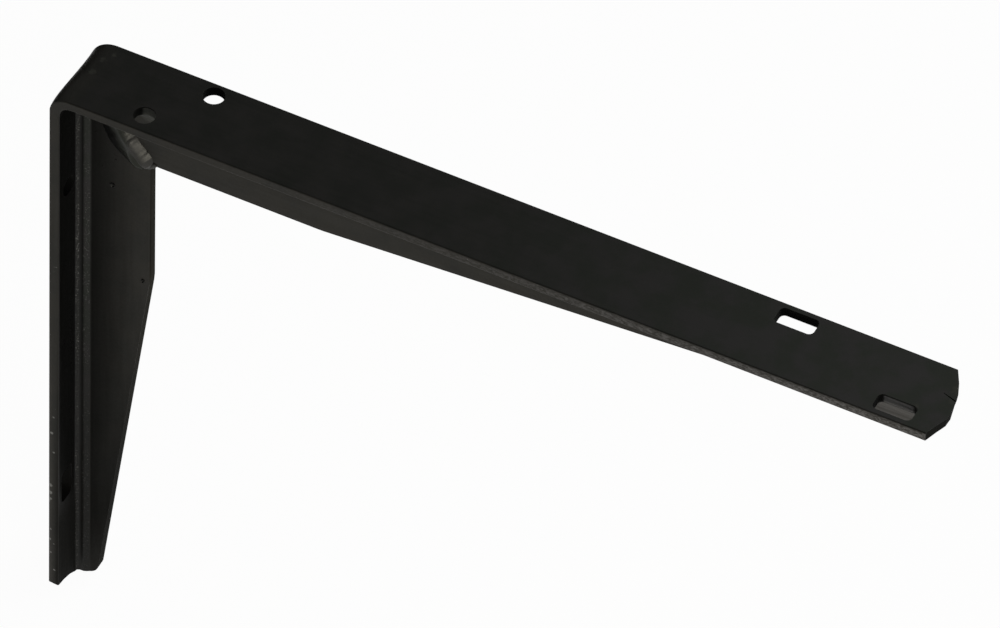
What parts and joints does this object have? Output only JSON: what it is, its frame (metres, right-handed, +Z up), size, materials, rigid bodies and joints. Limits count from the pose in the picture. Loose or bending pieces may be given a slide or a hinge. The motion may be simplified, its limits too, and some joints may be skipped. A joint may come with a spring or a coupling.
{
  "type": "shelf bracket",
  "caption": "Heavy steel shelf bracket: tee bar folded to a right angle, with tapered web, welded corner, and punched holes and slots in both arms.",
  "frame": {"origin": "where the wall plane meets the shelf plane, at mid width: the bracket's outer corner before its rounding", "axes": "+X along the shelf arm, away from the wall; +Z up, out of the shelf face; Y across the bracket"},
  "size_m": [0.4064, 0.0382, 0.3048],
  "materials": {
    "black_paint": "satin black paint over mill scale, slightly rough"
  },
  "bodies": {
    "root": {"bracket": "black_paint", "corner_weld": "black_paint"}
  },
  "joints": []
}
